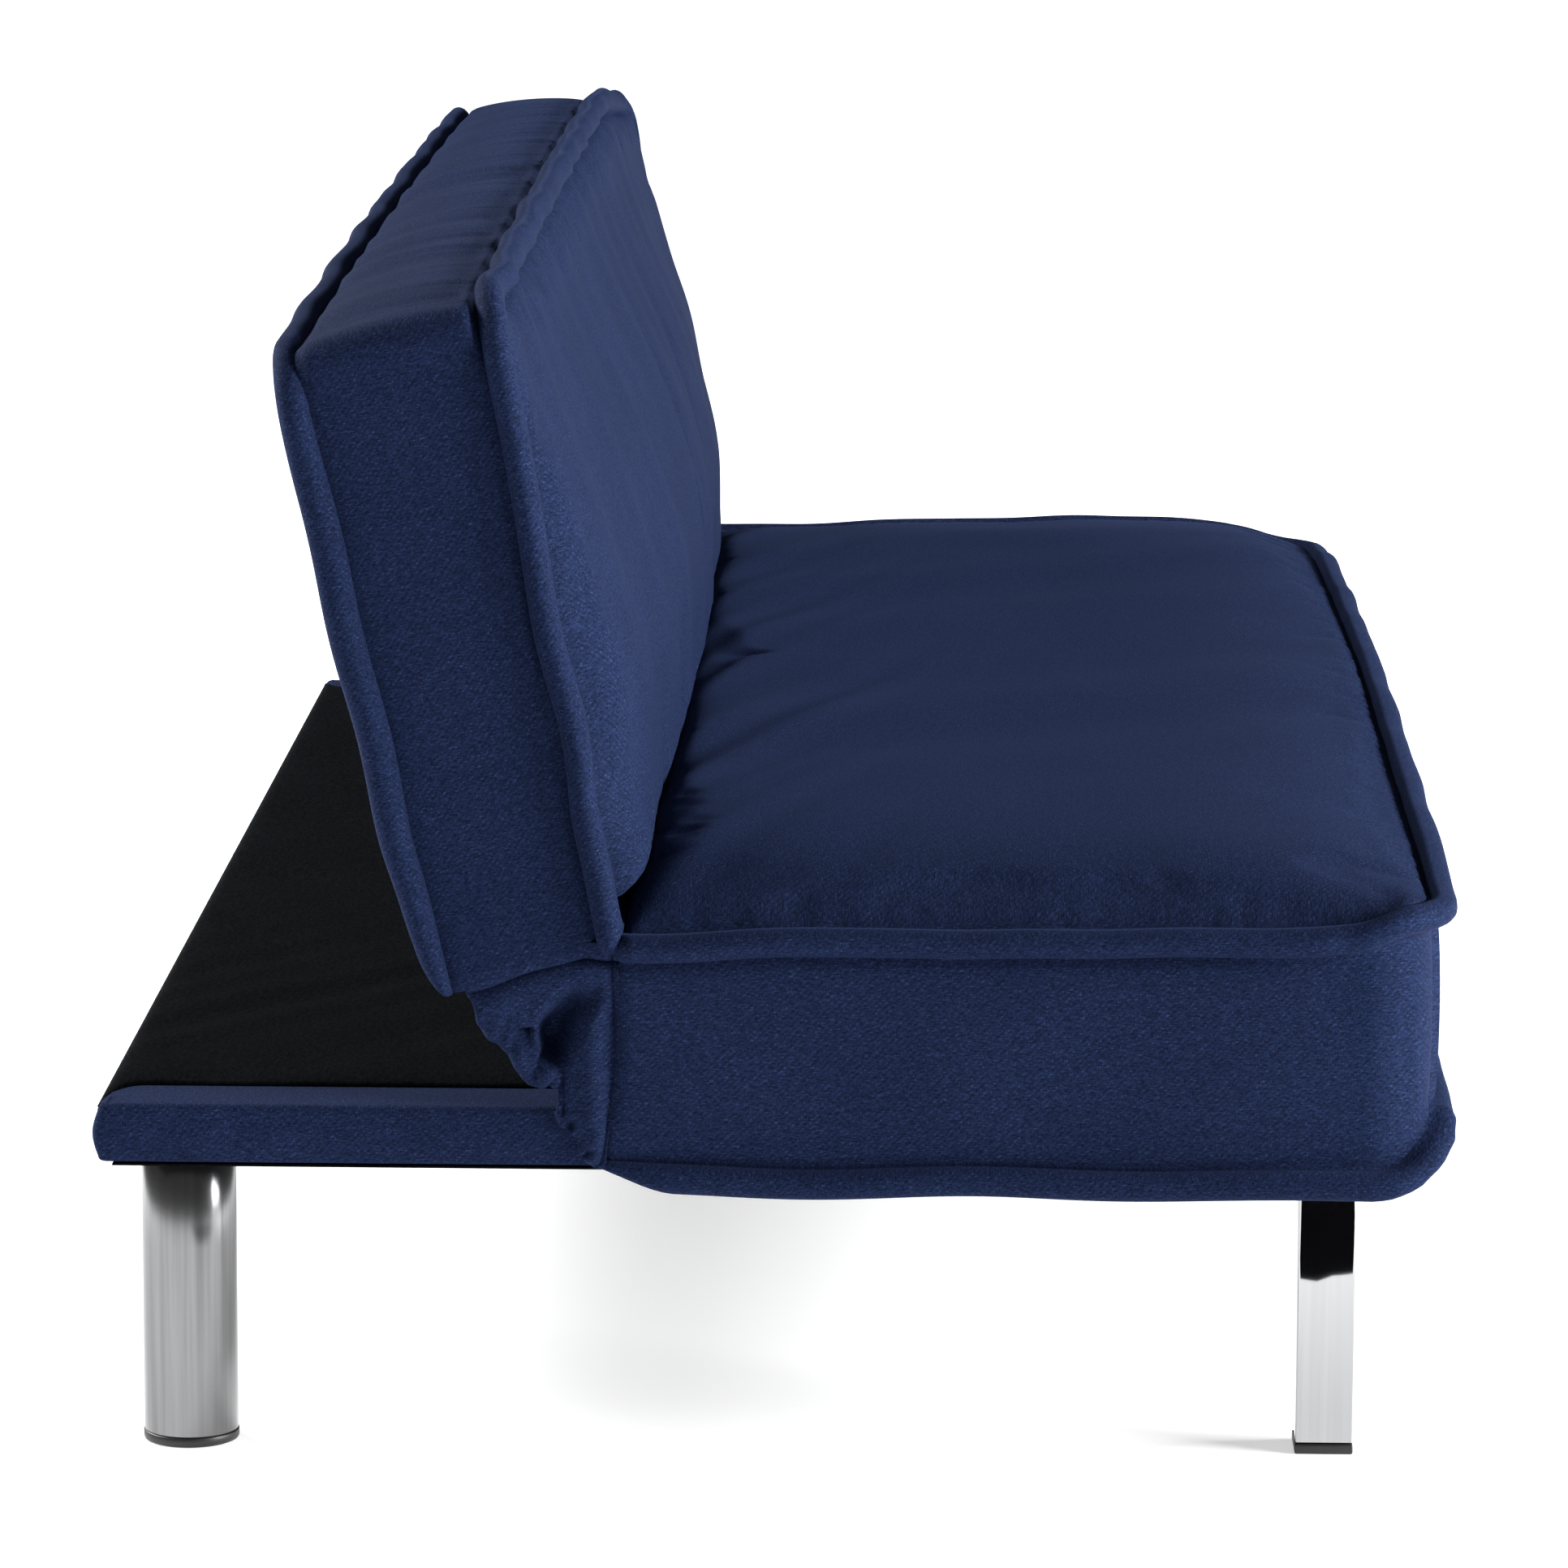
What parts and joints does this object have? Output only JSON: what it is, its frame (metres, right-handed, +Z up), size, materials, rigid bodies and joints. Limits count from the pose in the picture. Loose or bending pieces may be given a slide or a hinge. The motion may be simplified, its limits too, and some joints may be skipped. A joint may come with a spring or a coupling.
{
  "type": "futon sofa bed",
  "caption": "Armless click-clack sofa bed: boxed seat cushion on a low platform base with metal legs, and a backrest that reclines flat onto the platform.",
  "frame": {"origin": "on the floor, at the middle of the sofa's length and depth at rest", "axes": "+X along the length, to the sitter's left; -Y to the front of the seat; +Z up"},
  "size_m": [1.803, 0.9, 0.8],
  "materials": {
    "navy_fabric": "heathered navy linen weave",
    "black_cloth": "matte non-woven cloth",
    "pine": "planed, unfinished",
    "hardboard": "pressed fibreboard",
    "chrome": "polished",
    "zinc_steel": "zinc plated",
    "spring_steel": "oiled wire",
    "black_plastic": "satin moulded"
  },
  "bodies": {
    "base": {"curtain": "navy_fabric", "dust_cloth": "black_cloth", "foot_front_left": "black_plastic", "foot_front_right": "black_plastic", "foot_rear_left": "black_plastic", "foot_rear_right": "black_plastic", "gusset_left": "navy_fabric", "gusset_right": "navy_fabric", "hinge_bracket_left": "zinc_steel", "hinge_bracket_right": "zinc_steel", "hinge_pin_left": "zinc_steel", "hinge_pin_right": "zinc_steel", "leg_block_front_left": "pine", "leg_block_front_right": "pine", "leg_block_rear_left": "pine", "leg_block_rear_right": "pine", "leg_bolt_front_left": "zinc_steel", "leg_bolt_front_right": "zinc_steel", "leg_bolt_rear_left": "zinc_steel", "leg_bolt_rear_right": "zinc_steel", "leg_front_left": "chrome", "leg_front_right": "chrome", "leg_plate_front_left": "zinc_steel", "leg_plate_front_right": "zinc_steel", "leg_plate_rear_left": "zinc_steel", "leg_plate_rear_right": "zinc_steel", "leg_rear_left": "chrome", "leg_rear_right": "chrome", "platform_board": "hardboard", "platform_cloth": "black_cloth", "platform_trim": "navy_fabric", "rail_front": "pine", "rail_hinge": "pine", "rail_left": "pine", "rail_rear": "pine", "rail_right": "pine", "seat_cushion": "navy_fabric", "seat_rail_front": "pine", "seat_rail_left": "pine", "seat_rail_rear": "pine", "seat_rail_right": "pine", "seat_spring_1": "spring_steel", "seat_spring_2": "spring_steel", "seat_spring_3": "spring_steel", "stringer_platform": "pine", "stringer_seat": "pine"},
    "backrest": {"back_cushion": "navy_fabric", "back_panel": "navy_fabric", "back_rail_bottom": "pine", "back_rail_top": "pine", "back_spring_1": "spring_steel", "back_spring_2": "spring_steel", "back_spring_3": "spring_steel", "back_stile_centre": "pine", "back_stile_left": "pine", "back_stile_right": "pine", "hinge_arm_left": "zinc_steel", "hinge_arm_right": "zinc_steel"},
    "pawl_left": {"pawl_left": "zinc_steel"},
    "pawl_right": {"pawl_right": "zinc_steel"}
  },
  "joints": [
    {"name": "backrest_recline", "type": "hinge", "parent": "base", "child": "backrest", "pos_m": [0, 0.145, 0.347], "axis": [-1, 0, 0], "range_deg": [-6, 77], "deforming": ["gusset_left", "gusset_right", "curtain"]},
    {"name": "pawl_lift_left", "type": "hinge", "parent": "base", "child": "pawl_left", "pos_m": [-0.8457, 0.1175, 0.312], "axis": [1, 0, 0], "range_deg": [0, 15], "stiffness_Nm_per_rad": 0.05, "springref_deg": -5.73},
    {"name": "pawl_lift_right", "type": "hinge", "parent": "base", "child": "pawl_right", "pos_m": [0.8457, 0.1175, 0.312], "axis": [1, 0, 0], "range_deg": [0, 15], "stiffness_Nm_per_rad": 0.05, "springref_deg": -5.73}
  ]
}
